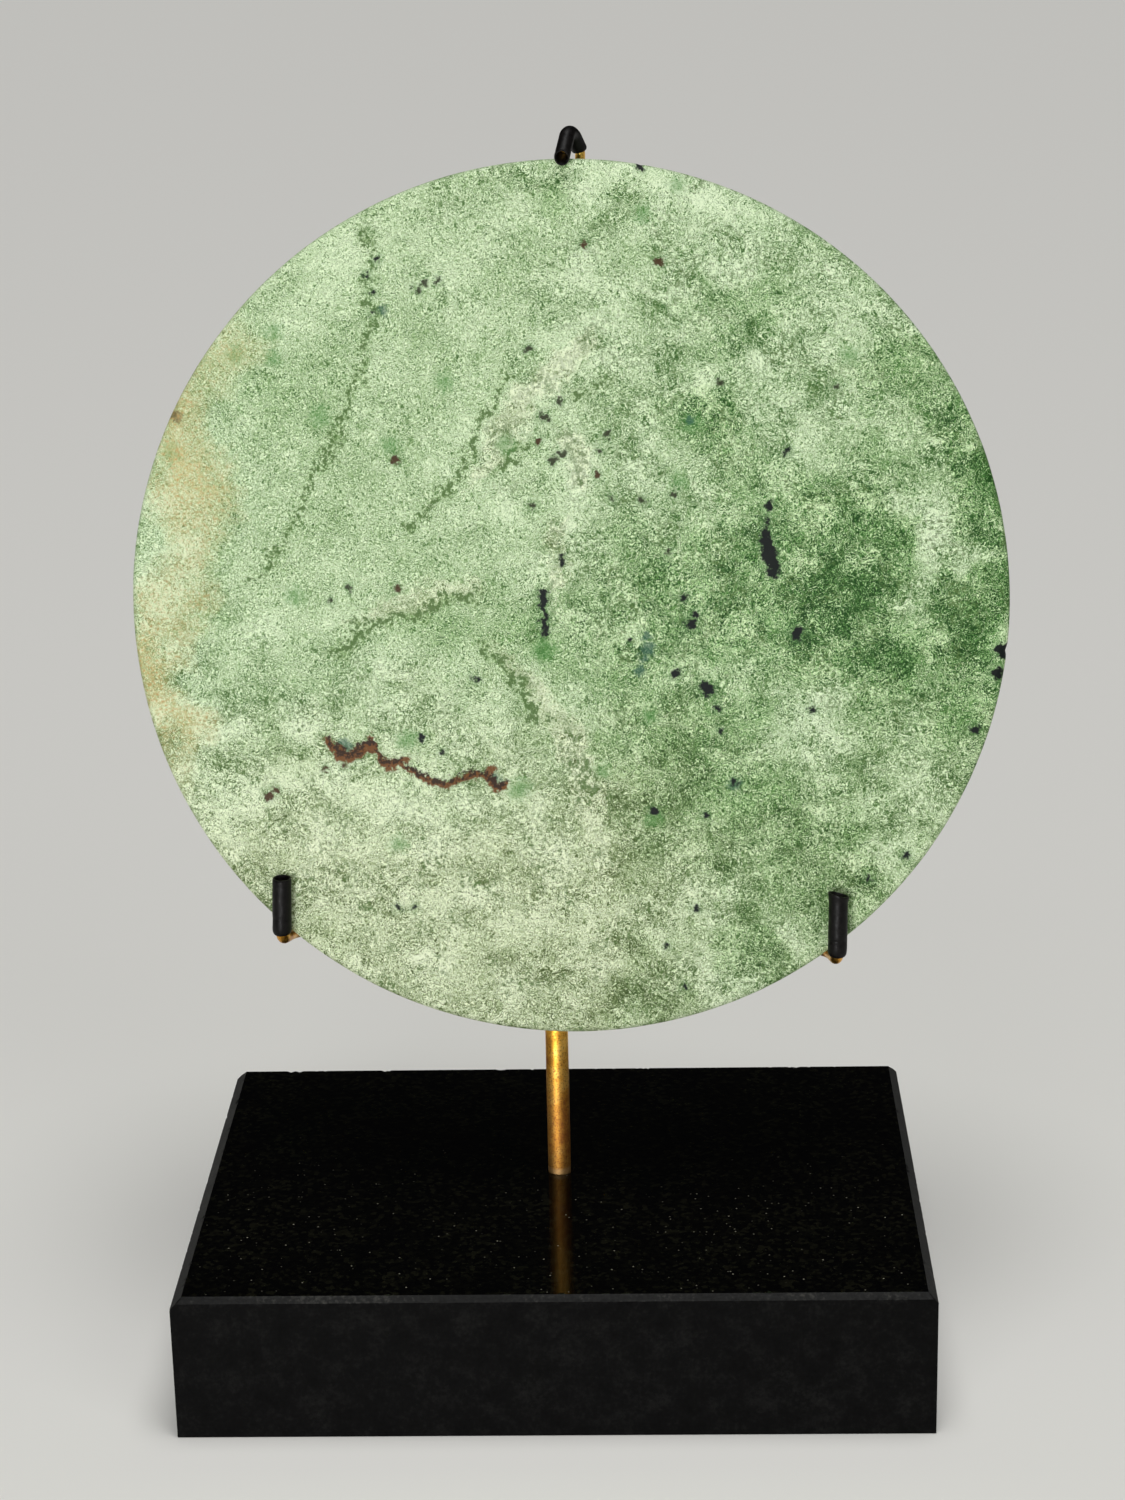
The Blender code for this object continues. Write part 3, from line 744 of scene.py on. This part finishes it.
def seam(along, across, line, half_widths):
    """How far a point lies outside a line drawn through the stone, in mm. Within the line it is negative.
    The line's points are given as (place along, place across), with a half width at each."""
    middle = add(jade, "FloatCurve", {"Value": along}, line=sorted(line))[0]
    widths = sorted((place, -width) for (place, _), width in zip(line, half_widths))
    less_width = add(jade, "FloatCurve", {"Value": along}, line=widths)[0]
    off = add(jade, "Math SUBTRACT", {0: across, 1: middle})[0]
    off = add(jade, "Math ABSOLUTE", {0: off})[0]
    run, rise = line[-1][0] - line[0][0], line[-1][1] - line[0][1]
    return add(jade, "Math MULTIPLY_ADD", {0: off, 1: abs(run) / math.hypot(run, rise), 2: less_width})[0]


def union(distances):
    """How far a point lies outside the nearest of several markings."""
    nearest = distances[0]
    for other in distances[1:]:
        nearest = add(jade, "Math MINIMUM", {0: nearest, 1: other})[0]
    return nearest


def specks(places):
    """How far a point lies outside the nearest of some round specks, in mm. Their places are given for
    each radius. Each node follows on the one before, so that few values wait at once in the shader."""
    nearest = None
    for radius, spots in places.items():
        near = None
        for spot in spots:
            off = add(jade, "VectorMath DISTANCE", {0: speck_place, 1: (*spot, 0)})[1]
            near = off if near is None else union([near, off])
        off = add(jade, "Math SUBTRACT", {0: near, 1: radius})[0]
        nearest = off if nearest is None else union([nearest, off])
    return nearest


def cover_of(outside, softness, most, crumble):
    """How fully a marking covers the stone, from how far outside it a point is. Crumbs break its edge up."""
    broken = add(jade, "Math MULTIPLY_ADD", {0: broken_up, 1: crumble * 4, 2: outside})[0]
    return add(jade, "MapRange", {"Value": broken}, span=(softness, -softness * 0.3, 0, most),
               interpolation_type="SMOOTHSTEP")[0]


# Clouds: how much paler the stone is there, or how much greener where the strength is below zero.
CLOUDS = [
    (34, 0, 48, 84, -25), (57, -2, 20, 36, -27), (49, 13, 14, 7, -32, -40), (56, 5, 17, 13, -46, 35),
    (59, -8, 9, 14, -36), (61, -21, 7, 13, -38), (69, -9, 10, 7, -19), (47, -6, 9, 6, -13),
    (19, -40, 27, 24, -40), (22, 1, 32, 16, -13), (44, -48, 20, 16, -22, 35), (35, -69, 9, 8, -46),
    (14, -78, 8, 11, -46), (86, 31, 10, 15, -57), (77, -6, 12, 12, -27), (29, 36, 11, 8, -30),
    (0, 81, 8, 9, -30), (-22, 76, 26, 14, 8), (36, 74, 22, 14, 17), (-62, -61, 12, 9, -55, -40),
    (-4, -4, 13, 11, -19), (-29, -5, 28, 8, -13), (-54, 42, 20, 20, -13), (57, -62, 14, 15, -33),
    (-34, 20, 22, 24, -6), (52, 68, 18, 10, -8), (30, 60, 20, 13, -13, -40), (-12, -76, 8, 6, -17),
    (-65, -27, 9, 7, -25), (70, 45, 14, 14, -27), (-48, 10, 22, 14, -4), (-52, -14, 20, 10, -11),
    (54, -45, 10, 8, -19), (10, -15, 14, 12, -17), (-38, -40, 42, 10, 32), (-28, -60, 36, 24, 7),
    (1, -50, 8, 28, 9), (5, 57, 18, 9, 22, 35), (-1, 32, 7, 22, 19), (-10, 42, 6, 24, 13, -40),
    (16, 82, 20, 8, 36), (-64, 60, 16, 16, 11), (73, 15, 8, 20, 46), (50, -23, 18, 11, 41),
    (56, 60, 13, 10, 27), (46, 40, 12, 20, 36), (66, -44, 16, 10, 8), (84, -4, 14, 62, -40),
    (60, -50, 26, 16, -19, 35), (12, -62, 26, 8, 7), (0, 16, 12, 24, 8), (-82, 8, 12, 34, 36),
    (-22, -22, 24, 10, 6), (20, 26, 15, 11, 22), (-48, 4, 20, 9, 6, 35), (-40, 72, 32, 18, 8),
    (-72, -44, 18, 16, 22), (-50, 76, 24, 16, 12), (25, 76, 22, 16, 16), (12, 50, 30, 16, 9),
    (50, 50, 18, 16, -14), (77, 26, 16, 18, -24), (-50, 0, 18, 16, 14), (-76, -26, 14, 18, 14),
    (76, -26, 14, 18, -14), (0, -52, 18, 18, -12), (0, -80, 30, 14, -18), (-12, 26, 28, 16, 8),
    (-76, 2, 14, 18, -10), (-25, 0, 18, 16, -10), (25, 26, 18, 14, -9),
]
pale = patches(CLOUDS, 0.61)
deepness = add(jade, "MapRange", {"Value": pale}, span=(0.56, 0.32))[0]

# Pale seams: bands of whitish, flaky stone beside the veins.
pale_seams = union([
    seam(v, u, [(58, 8), (50, 1), (42, -7), (36, -11), (28, -16), (18, -25)], [-4, 2, 1.9, 1.5, 0.8, -4]),
    seam(v, u, [(40, -0.5), (33, 1.5), (26, 3), (18, 4.5)], [-4, 1, 0.8, -4]),
    seam(u, v, [(-54, -8), (-40, -1.5), (-30, 1.6), (-20, 4.5), (-12, 3)], [-4, 0.8, 1.1, 0.9, -4]),
    seam(v, u, [(-1, -20), (-12, -12), (-20, -4), (-32, 2), (-45, 5), (-64, 9)], [-4, 0.6, 1.1, 1.4, 1.2, -4]),
    seam(v, u, [(24, 1), (16, -2), (4, -3), (-8, -4)], [-4, 0.4, 0.3, -4]),
])
whitened = cover_of(pale_seams, 2.4, 0.27, 1.5)
pale = add(jade, "Math ADD", {0: pale, 1: whitened})[0]

# The grain: soft mottling, wavy felted fibres, and flaky crystals a few tenths of a millimetre wide with
# dark green between them. The stone is calm in some places and rough in others. The layers give a feature's
# size in mm, its stretch, its noise's roughness, and its strength where the stone is calm and rough.
CALM = [(-44, 46, 60, 58, 130), (-40, 4, 44, 28, 90), (-16, -12, 28, 20, 70),
        (22, -30, 32, 26, 40), (4, 76, 30, 18, 40)]
patchy = add(jade, "TexNoise", {"Vector": vein_place, "Scale": 1 / 9, "Detail": 2})["Fac"]
rough = add(jade, "MapRange", {"Value": patchy}, span=(0.36, 0.6, 0.15, 1))[0]
rough = add(jade, "Math SUBTRACT", {0: rough, 1: patches(CALM, 0)}, use_clamp=True)[0]
rough = add(jade, "Math MULTIPLY_ADD", {0: whitened, 1: 1.4, 2: rough}, use_clamp=True)[0]
LAYERS = [(7, 1.4, 0.6, 0.18, 0.66), (2.4, 2.4, 0.55, 0.02, 0.22), (1, 2.4, 0.55, 0.02, 0.30),
          (0.5, 1.8, 0.5, 0.08, 0.70), (0.28, 1.2, 0.5, 1.2, 1.7)]
for feature_mm, stretch, roughness, least, most in LAYERS:
    strength = add(jade, "MapRange", {"Value": rough}, span=(0, 1, least, most))[0]
    fibres = add(jade, "Mapping", {"Vector": vein_place, "Rotation": (0, 0, 0.5),
                                   "Scale": (1.0 / stretch, 1, 1)})[0]
    fibre = add(jade, "TexNoise", {"Vector": fibres, "Scale": 1 / feature_mm, "Detail": 3,
                                   "Roughness": roughness})["Fac"]
    fibre = add(jade, "MapRange", {"Value": fibre}, span=(0.3, 0.7, -1, 1))[0]
    pale = add(jade, "Math MULTIPLY_ADD", {0: fibre, 1: strength, 2: pale})[0]

# Three tempers of the stone share that grain: a cool green, a deep green in its heart, and a creamy one.
TEMPERS = [
    ("#345F23", "#547E3C", "#73985A", "#8DB175", "#A9C793", "#C2DBAC", "#E2F2CF"),
    ("#0F3F08", "#2B6A1C", "#4E8C38", "#73A95B", "#99C57D", "#BAD9A0", "#DAEDC0"),
    ("#4A5A2A", "#6E824C", "#8B9F6A", "#A6BA86", "#BFD1A1", "#D4E2B9", "#EAF3D3"),
]
TEMPER_PLACES = [0, 0.15, 0.3, 0.45, 0.62, 0.8, 1]
tempers = []
for colours in TEMPERS:
    stops = zip(TEMPER_PLACES, colours)
    tempers.append(add(jade, "ValToRGB", {0: pale}, stops=stops)["Color"])
stirred_axes = add(jade, "SeparateXYZ", {0: cloud_place})
low_down = add(jade, "MapRange", {"Value": stirred_axes["Y"]}, span=(-14, -52, 0.12, 1))[0]
far_right = add(jade, "MapRange", {"Value": stirred_axes["X"]}, span=(4, 34, 1, 0.3))[0]
creamy = add(jade, "Math MULTIPLY", {0: low_down, 1: far_right})[0]
creamy = add(jade, "Math MULTIPLY_ADD", {0: whitened, 1: 2.8, 2: creamy}, use_clamp=True)[0]
surface = add(jade, "Mix RGBA", {0: deepness, 6: tempers[0], 7: tempers[1]})[2]
surface = add(jade, "Mix RGBA", {0: creamy, 6: surface, 7: tempers[2]})[2]

# Olive clumps: small dark crystals, strung along the rougher stone.
chains = add(jade, "TexNoise", {"Vector": vein_place, "Scale": 1 / 11, "Detail": 3})["Fac"]
chains = add(jade, "Math SUBTRACT", {0: chains, 1: 0.5})[0]
chains = add(jade, "Math ABSOLUTE", {0: chains})[0]
clumps = add(jade, "Math MULTIPLY_ADD", {0: chains, 1: -0.9, 2: crumbs})[0]
clumps = add(jade, "Math MULTIPLY_ADD", {0: whitened, 1: 0.35, 2: clumps})[0]
clumps = add(jade, "MapRange", {"Value": clumps}, span=(0.48, 0.6, 0, 0.9))[0]
clumps = add(jade, "Math MULTIPLY", {0: clumps, 1: rough})[0]
surface = add(jade, "Mix RGBA", {0: clumps, 6: surface, 7: "#54723A"})[2]

# Green seams: broken dark green lines, where the stone cracked and healed.
green_seams = union([
    seam(v, u, [(79, -39), (75, -39), (66, -38.6), (58, -38), (50, -39.5), (42, -42), (34, -45), (25, -51),
                (15, -57), (6, -63), (-3, -70)], [-3, 0.1, -0.4, -0.1, -0.3, -0.1, 0.2, 0.1, 0, -0.2, -3]),
    seam(v, u, [(52, -6.5), (46, -11), (40, -15), (33, -19), (27, -22), (22, -26), (16.5, -30), (11, -33)],
         [-3, 0, 0.1, 0, 0.2, 0.1, 0.2, -3]),
    seam(u, v, [(-17, 22), (-14, 27), (-8, 32), (-3, 35)], [-3, 0.05, 0.1, -3]),
    seam(u, v, [(-2, 41), (3, 42.3), (9, 44), (14, 46.5)], [-3, 0.3, 0.1, -3]),
    seam(u, v, [(-54, -11), (-48, -9), (-41, -6), (-37, -3), (-30, -0.5), (-25, 1.5), (-18.5, 2.6), (-15, 1.5)],
         [-3, 0.3, 0.6, 0.5, 0.3, 0.3, 0.4, -3]),
    seam(u, v, [(-49, -4), (-44, -3.2), (-38, -3.2), (-34, -2)], [-3, 0.1, 0.1, -3]),
    seam(u, v, [(-21, -3), (-17, -8), (-13.5, -12), (-10.5, -15.5), (-8, -19.5), (-3, -22.5), (2, -26)],
         [-3, 0.3, 0.5, 0.3, 0.3, 0.1, -3]),
])

# The rust crack: an open crack stained brown by iron, black along its edges.
LEFT_CRACK = [(-50.6, -26.4), (-49.6, -26.9), (-48.5, -27.8), (-47.2, -29.2), (-45.5, -30.3), (-43.4, -29.7),
              (-41.6, -28.9), (-40.6, -27.8), (-39.9, -27.7), (-39.2, -29.2), (-38.5, -31), (-37.6, -32.1),
              (-36, -32), (-34, -31.1), (-32.4, -30.7), (-31.6, -30.6)]
LEFT_WIDTHS = [-1.5, 0.5, 0.9, 1.2, 1.2, 1, 0.95, 1.1, 1.2, 1, 0.85, 0.9, 0.85, 0.6, 0.4, -1.5]
RIGHT_CRACK = [(-35.4, -31.5), (-34.6, -31.9), (-33, -32.9), (-30, -34.6), (-28, -35.6), (-25.5, -36.1),
               (-23.5, -35.6), (-21, -34.3), (-19, -34), (-17.2, -34.2), (-15.9, -35.6), (-14.4, -36.8),
               (-13, -36.4), (-12.2, -36)]
RIGHT_WIDTHS = [-1.5, 0.4, 0.5, 0.5, 0.55, 0.6, 0.55, 0.55, 0.5, 0.75, 1, 0.9, 0.6, -1.5]
BLACK_RISE = 0.4
rust = union([
    seam(near_u, near_v, LEFT_CRACK, LEFT_WIDTHS), seam(near_u, near_v, RIGHT_CRACK, RIGHT_WIDTHS),
    specks({0.35: [(-40.3, -26.2)], 0.5: [(-16.5, -33.7)], 0.55: [(-15.8, -32.9)]}),
])
black_edge = union([
    seam(near_u, near_v, [(along, up + BLACK_RISE) for along, up in crack], [w - slimmer for w in widths])
    for crack, widths, slimmer in ((LEFT_CRACK, LEFT_WIDTHS, 0.65), (RIGHT_CRACK, RIGHT_WIDTHS, 0.35))
])

# Specks: dark grains of iron ore, brown ones that have rusted, and spots of strong green. The dark specks on
# the rim's nicks are painted shade in the nicks.
ore_specks_and_nick_shade = union([
    specks({
        0.3: [(12.3, -7.3)], 0.35: [(-38, 62.5), (-38, 58.5), (19, -69.7), (60, -56), (-32.2, -61.5)],
        0.4: [(-39, 66), (-37, 69), (48.5, -21.3), (25, -62), (22.5, -78.5), (-26, -29.4), (-35.5, -61.8)],
        0.45: [(29.5, -21), (-19, -14.5), (43.8, 30.5)], 0.5: [(30.3, -25.5), (27.2, -43), (-30, -26.5)],
        # The specks at (15, 86.3), (-78, 38.5), (85.6, -14.5) and (86.8, -10) sit in the rim's nicks: painted
        # shade.
        0.55: [(25.5, -2)], 0.6: [(33, -36), (16.7, -41.7), (67.5, -51.5), (81, -25.7), (15, 86.3)],
        0.7: [(23, 1.5)], 0.75: [(21.3, -13.8)], 0.9: [(24.3, -3.7), (-78, 38.5)], 1: [(85.6, -14.5)],
        1.15: [(45.5, -5.7)], 1.25: [(27.7, -16.8)], 1.3: [(86.8, -10)]
    }),
    seam(near_v, near_u, [(21.3, 40.2), (20.2, 40.2), (18.6, 40), (16, 39.8), (13, 39.4), (11, 39.9),
                          (8.5, 40.5), (5.5, 41), (4.4, 41)], [-1.5, 0.7, -0.2, 0.1, 0.9, 1.6, 1.3, 0.5, -1.5]),
    seam(near_v, near_u, [(4.2, -5), (3.4, -5), (0.2, -5), (-0.6, -4.8), (-3, -4.8), (-5.8, -4.8),
                          (-6.8, -4.8)], [-1.5, 0.7, 0.7, 0.35, 0.65, 0.45, -1.5]),
    seam(near_v, near_u, [(11.5, -1.2), (10.6, -1.2), (7.8, -1.2), (6.8, -1.2)], [-1.5, 0.3, 0.25, -1.5]),
])
olive_specks = specks({
    0.3: [(20.3, 10.8)], 0.35: [(-44, 4), (53.5, 43.2), (30.5, 43.8)], 0.4: [(6.7, 31), (-27.5, 64.2)],
    0.45: [(-47.5, 1.4), (-1.3, 40.7), (-25, 64.5)],
    0.5: [(-7.3, 51.2), (-0.7, 30.5), (-7, 20), (8.7, 21.3), (-29, 63)],
    0.55: [(-4.3, 37.7), (8, 34), (15, 20.8), (21.3, 22)], 0.6: [(-2.5, 29.2)]
})
rusty_specks = specks({
    0.3: [(-49.8, -33)], 0.35: [(-46, -32.2)], 0.4: [(-5.5, 33)],
    0.5: [(-34, 3.9), (6, 26), (4, 71.3), (-60, -37)], 0.7: [(18.7, 67.8)],
    0.8: [(-34, 29.7), (-61.5, -38.2)]
})
green_specks = specks({
    0.6: [(22.5, 82.7), (6.5, -33.5), (22.4, 24.8)], 0.7: [(-66, 50.7), (56, 49), (16, -22.5)],
    0.8: [(15.5, 77.3), (-58, 54.8), (-58, 49.7), (-12.3, 32.5), (-35, -48.5), (16.7, -43.5)],
    0.9: [(-24, 44.8), (-35, 32.5)], 1: [(24.7, 36.3), (-55, 2.3), (-79, 31.3)], 1.1: [(-49, 38.3)],
    1.2: [(-33, -27)], 1.4: [(-10.5, -37)], 1.6: [(-5, -9)]
})
teal_specks = specks({
    0.5: [(24.7, 36.6)], 0.6: [(15.5, -6.3), (-36, 59)], 0.7: [(14.2, -13)], 0.8: [(15, -10.8)],
    0.9: [(33, -36.3), (-15.5, -35)], 1.1: [(16, -8.8)], 1.2: [(-45.5, -28)]
})

# Each marking is laid on in turn: how far outside it a point is, the softness of its edge in mm, its
# colour, how fully it covers the stone, and how far the crumbs break it up. Few of them reach the back.
MARKINGS = [
    (green_seams, 1.7, "#7C9C5C", 0.55, 2),
    (green_seams, 0.6, "#44652A", 0.85, 2.6),
    (green_specks, 2.2, "#4E8A40", 0.6, 1.2),
    (teal_specks, 0.9, "#2E5A4C", 0.75, 0.4),
    (union([ore_specks_and_nick_shade, olive_specks, rusty_specks]), 1.7, "#5B8450", 0.5, 0.3),
    (rust, 1.3, "#59613C", 0.55, 0.6),
    (rust, 0.4, "#6E4018", 0.95, 0.4),
    (black_edge, 0.5, "#1B140D", 0.85, 1.4),
    (rusty_specks, 0.5, "#43240C", 0.95, 0.5),
    (olive_specks, 0.55, "#25230F", 0.92, 0.5),
    # Near black: grains of iron ore, and painted shade in the rim's nicks.
    (ore_specks_and_nick_shade, 0.5, "#0A1210", 1, 0.4),
]
into_stone = add(jade, "MapRange", {"Value": axes["Y"]}, span=(-1, 3.5, 1, 0.12))[0]
for outside, softness, hex_colour, most, crumble in MARKINGS:
    cover = add(jade, "Math MULTIPLY", {0: cover_of(outside, softness, most, crumble), 1: into_stone})[0]
    surface = add(jade, "Mix RGBA", {0: cover, 6: surface, 7: hex_colour})[2]

# The weathered left rim: iron has stained the stone ochre, in freckles.
ochre = patches([(-78, 30, 12, 36, 75), (-82, -14, 9, 26, 70), (-66, 54, 9, 14, 40)], 0)
freckle = add(jade, "MapRange", {"Value": crumbs}, span=(0.4, 0.68, 0.5, 1.3))[0]
ochre = add(jade, "Math MULTIPLY", {0: ochre, 1: freckle}, use_clamp=True)[0]
surface = add(jade, "Mix RGBA", {0: ochre, 6: surface, 7: "#CBBE82"})[2]
iron = add(jade, "TexNoise", {"Vector": stone_place, "Scale": 1 / 0.45, "Detail": 2})["Fac"]
iron = add(jade, "MapRange", {"Value": iron}, span=(0.52, 0.66))[0]
iron = add(jade, "Math MULTIPLY", {0: iron, 1: ochre})[0]
surface = add(jade, "Mix RGBA", {0: iron, 6: surface, 7: "#C08A4A"})[2]
roughness = add(jade, "MapRange", {"Value": crumbs}, span=(0.3, 0.7, 0.46, 0.62))[0]
bump = add(jade, "Bump", {"Height": crumbs, "Strength": 0.3, "Distance": 0.3 * MM})[0]
feed(shader, {"Base Color": surface, "Roughness": roughness, "IOR": 1.61, "Specular IOR Level": 0.15,
              "Normal": bump})

add_piece("greenstone", disc_form(), [jade], "greenstone_disc", place=seat)


# ---- The table, the lights and the camera ----
# The stand is photographed on a plain pale table that runs far back, under large soft lamps, with the
# room behind kept dark so that the polished granite stays black.

FLOOR_HALF = 16.0
CAMERA_PLACE = Vector((0.021606, -0.609195, 0.324673))
CAMERA_YAW, CAMERA_PITCH, CAMERA_ROLL = (math.radians(turn) for turn in (1.7920, 18.1783, 1.2371))
CAMERA_LENS_MM = 76.30
SENSOR_MM = 36.0
AIM = Vector((0, 0, 0.13))

# Pale paper: matt and a little warm, as the table is covered with.
table = bpy.data.meshes.new("table")
table.from_pydata([(-FLOOR_HALF, -FLOOR_HALF, 0), (FLOOR_HALF, -FLOOR_HALF, 0), (FLOOR_HALF, FLOOR_HALF, 0),
                   (-FLOOR_HALF, FLOOR_HALF, 0)], [], [(0, 1, 2, 3)])
paper, shader = start_material("pale_paper")
feed(shader, {"Base Color": "#E8E7E2", "Roughness": 0.9})
table.materials.append(paper)
table = bpy.data.objects.new("table", table)
scene.collection.objects.link(table)


def softbox(name, place, width, height, power):
    """A flat soft lamp that faces the stand."""
    lamp = bpy.data.lights.new(name, "AREA")
    lamp.shape = "RECTANGLE"
    lamp.size, lamp.size_y = width, height
    lamp.energy = power
    holder = bpy.data.objects.new(name, lamp)
    holder.location = place
    holder.rotation_euler = (AIM - Vector(place)).to_track_quat("-Z", "Y").to_euler()
    scene.collection.objects.link(holder)
    return holder


softbox("key_lamp", (-0.33, -1.15, 0.13), 0.5, 0.22, 7)
softbox("right_lamp", (0.9, -1.1, 0.9), 0.8, 0.8, 2.8)

# A small lamp low in front puts the golden glint on the post, and lights nothing else.
low_lamp = softbox("low_lamp", (-0.055, -0.2, 0.03), 0.12, 0.04, 0.3)
low_lamp.visible_camera = False
brass_alone = bpy.data.collections.new("lit_by_the_low_lamp")
brass_alone.objects.link(post)
low_lamp.light_linking.receiver_collection = brass_alone

# A broad soft light from straight above fills in the rest.
sky = bpy.data.lights.new("overhead_lamp", "SUN")
sky.energy = 2.1
sky.angle = math.radians(40)
overhead_lamp = bpy.data.objects.new("overhead_lamp", sky)
overhead_lamp.rotation_euler = Euler((math.radians(8), 0, math.radians(20)))
scene.collection.objects.link(overhead_lamp)

scene.world = bpy.data.worlds.new("room")
scene.world.use_nodes = True
feed(scene.world.node_tree.nodes["Background"], {"Color": "#3A3A3C", "Strength": 0.35})
scene.view_settings.view_transform = "Standard"

lens = bpy.data.cameras.new("camera")
lens.lens = CAMERA_LENS_MM
lens.sensor_width = SENSOR_MM
lens.clip_start, lens.clip_end = 0.02, 40.0
camera = bpy.data.objects.new("camera", lens)
camera.matrix_world = (Matrix.Translation(CAMERA_PLACE) @ Matrix.Rotation(CAMERA_YAW, 4, "Z")
                       @ Matrix.Rotation(math.pi / 2 - CAMERA_PITCH, 4, "X")
                       @ Matrix.Rotation(-CAMERA_ROLL, 4, "Z"))
scene.collection.objects.link(camera)
scene.camera = camera

bpy.context.view_layer.update()
